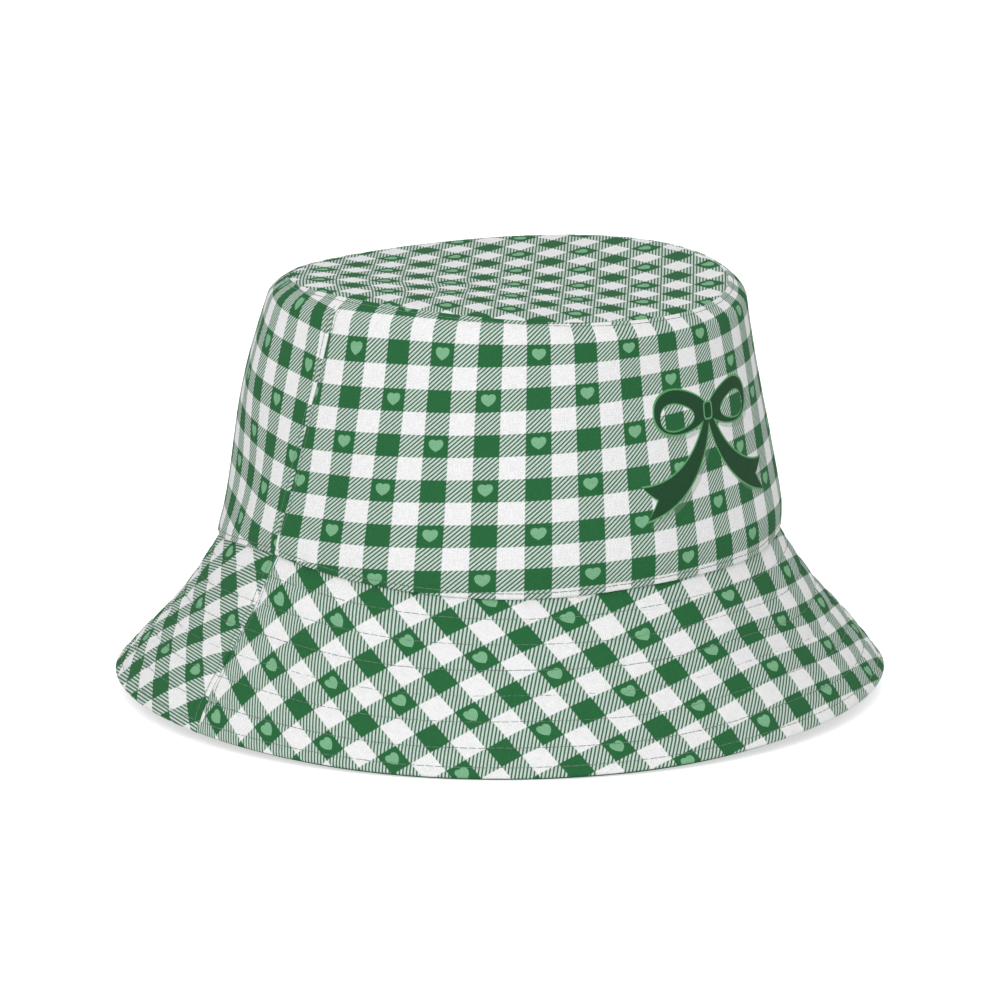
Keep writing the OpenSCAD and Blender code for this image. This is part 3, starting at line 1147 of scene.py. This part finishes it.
ON_TOP = -0.06  # depth of a thread's centre on the outside of the shell
ON_INSIDE = INSIDE + 0.06  # and on the inside of the lining
LEFT, RIGHT = -math.pi / 2, math.pi / 2
LINING_ROW_Z = 134.7  # height of the lining's row under its crown top
LINING_START = 10  # the lining's side rows start so far up the wall
LINING_STOP_Z = 132  # and stop at this height
SIDE_START = 3.2  # the wall's side rows start above the base row
SIDE_STOP = 4  # and stop so far under the crown seam
BRIM_START = 0.6  # the brim's side rows start so far down from its seam


def twin_paths(line, start, end, seam_angle, radius, depth, relief):
    """The two topstitch lines beside a side seam, which is given by its angle."""
    offset = TWIN_OFFSET / radius
    return [
        climbing_path(line, start, end, angle, depth, relief)
        for angle in (seam_angle - offset, seam_angle + offset)
    ]


def crown_stitching():
    paths = [ring_path(WALL, WALL.end - CROWN_ROW_IN, ON_TOP, wall_relief)]
    top = seam("crown_seam_stitches", "crown_seam_stitching", paths)
    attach(top, "crown_top")
    paths = [ring_path(WALL, WALL.s_at_height(LINING_ROW_Z), ON_INSIDE, wall_relief)]
    inside = seam("lining_crown_stitches", "lining_crown_seam_stitching", paths, BOBBIN_THREAD)
    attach(inside, "crown_top")
    paths = [ring_path(WALL, BASE_ROW_UP, ON_TOP, wall_relief)]
    base = seam("base_seam_stitches", "base_seam_stitching", paths)
    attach(base, "hat_base")


def side_stitching(side, angle):
    stop = WALL.end - SIDE_STOP
    paths = twin_paths(WALL, SIDE_START, stop, angle, BASE_R, ON_TOP, wall_relief)
    outside = seam(f"side_seam_stitches_{side}", f"side_seam_stitching_{side}", paths)
    bend_with_crown(outside)
    stop = WALL.s_at_height(LINING_STOP_Z)
    paths = twin_paths(WALL, LINING_START, stop, angle, BASE_R, ON_INSIDE, wall_relief)
    inside = seam(
        f"lining_seam_stitches_{side}", f"lining_seam_stitching_{side}", paths, BOBBIN_THREAD
    )
    bend_with_crown(inside)
    middle_r = (BASE_R + BRIM_R) / 2
    paths = twin_paths(BRIM, BRIM_START, EDGE_ROW, angle, middle_r, ON_TOP, brim_relief)
    brim = seam(f"brim_seam_stitches_{side}", f"brim_seam_stitching_{side}", paths)
    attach(brim, "hat_base")


def row_stitching():
    """The brim's rows, seen from above as sewing thread and from below as bobbin thread."""
    for face, depth, thread in (("brim", ON_TOP, THREAD), ("under", ON_INSIDE, BOBBIN_THREAD)):
        for kind, rows in (("row", ROWS), ("edge", [EDGE_ROW])):
            paths = [ring_path(BRIM, s, depth, brim_relief) for s in rows]
            piece = seam(f"{face}_{kind}_stitches", f"{face}_{kind}_stitching", paths, thread)
            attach(piece, "hat_base")


# ---------------------------------------- stage


FLOOR_GLOW = 0.6  # lifts the floor to white in the camera's view, and softens the shadow
SKY = 0.73  # strength of the even light from all round


def add_floor():
    bpy.ops.mesh.primitive_plane_add(size=60)
    floor = bpy.context.object
    floor.name = "studio_floor"
    material, tree, shader = new_material("floor_paper")
    shader.inputs["Base Color"].default_value = (0.9, 0.9, 0.9, 1)
    shader.inputs["Roughness"].default_value = 0.9
    shader.inputs["Specular IOR Level"].default_value = 0.1
    shader.inputs["Emission Color"].default_value = (1, 1, 1, 1)
    seen = Signal(tree, tree.nodes.new("ShaderNodeLightPath").outputs["Is Camera Ray"])
    tree.links.new((seen * FLOOR_GLOW).socket, shader.inputs["Emission Strength"])
    floor.data.materials.append(material)


def add_light(name, position, size, power):
    data = bpy.data.lights.new(name, "AREA")
    data.shape = "DISK"
    data.size = size
    data.energy = power
    light = bpy.data.objects.new(name, data)
    light.location = position
    light.rotation_mode = "QUATERNION"
    light.rotation_quaternion = (-Vector(position)).to_track_quat("-Z", "Y")
    bpy.context.scene.collection.objects.link(light)


def in_view(right, away, up):
    """A place or direction given as the camera sees it: to the right, away from it and up."""
    flat = right * IMAGE_RIGHT + away * IMAGE_AWAY
    return Vector((flat[0], flat[1], up))


def add_studio():
    world = bpy.data.worlds.new("studio")
    world.use_nodes = True
    background = world.node_tree.nodes["Background"]
    background.inputs["Color"].default_value = (1, 1, 1, 1)
    background.inputs["Strength"].default_value = SKY
    bpy.context.scene.world = world
    add_light("key_softbox", in_view(-0.3, -1.7, 1.1), size=1.4, power=19)
    add_light("top_softbox", in_view(0, 0.3, 1.9), size=1.8, power=4)
    bpy.context.scene.view_settings.view_transform = "Standard"


CAMERA_DISTANCE = 2.32
CAMERA_PITCH = math.radians(12.35)
CAMERA_LENS = 244.5
SENSOR = 36
AIM_HEIGHT = 0.0645


def add_camera():
    """Looks at the hat's middle from its front left, a little above the brim."""
    data = bpy.data.cameras.new("camera")
    data.sensor_width = SENSOR
    data.lens = CAMERA_LENS
    camera = bpy.data.objects.new("camera", data)
    aim = in_view(-0.001, 0, AIM_HEIGHT)
    back = in_view(0, -math.cos(CAMERA_PITCH), math.sin(CAMERA_PITCH))
    camera.location = aim + CAMERA_DISTANCE * back
    camera.rotation_mode = "QUATERNION"
    camera.rotation_quaternion = (-back).to_track_quat("-Z", "Y")
    bpy.context.scene.collection.objects.link(camera)
    bpy.context.scene.camera = camera


# ---------------------------------------- the hat

FRONT_WALL_PRINT = wall_print(FRONT, u0=2.98, z0=129.4, rise=0.75, column=11.1, row=14.9)
BACK_WALL_PRINT = wall_print(BACK, u0=-6.8, z0=138.3, rise=-1.8, column=9.0, row=15.2)
FRONT_BRIM_PRINT = brim_print(FRONT, u0=7.36, v0=-3.21, turn=10.7, stretch=0.75)
BACK_BRIM_PRINT = brim_print(BACK, u0=-5.07, v0=-1.56, turn=1.5)

outer_wall("front", FRONT, FRONT_WALL_PRINT, PRINTED_BOW)
outer_wall("back", BACK, BACK_WALL_PRINT, PRINTED)
outer_brim("front", FRONT, FRONT_BRIM_PRINT)
outer_brim("back", BACK, BACK_BRIM_PRINT)
for half_name, half_middle in (("front", FRONT), ("back", BACK)):
    under_brim(half_name, half_middle)
    brim_interlining(half_name, half_middle)
    lining_wall(half_name, half_middle)
crown_tops()
crown_stitching()
side_stitching("left", LEFT)
side_stitching("right", RIGHT)
row_stitching()

add_floor()
add_studio()
add_camera()
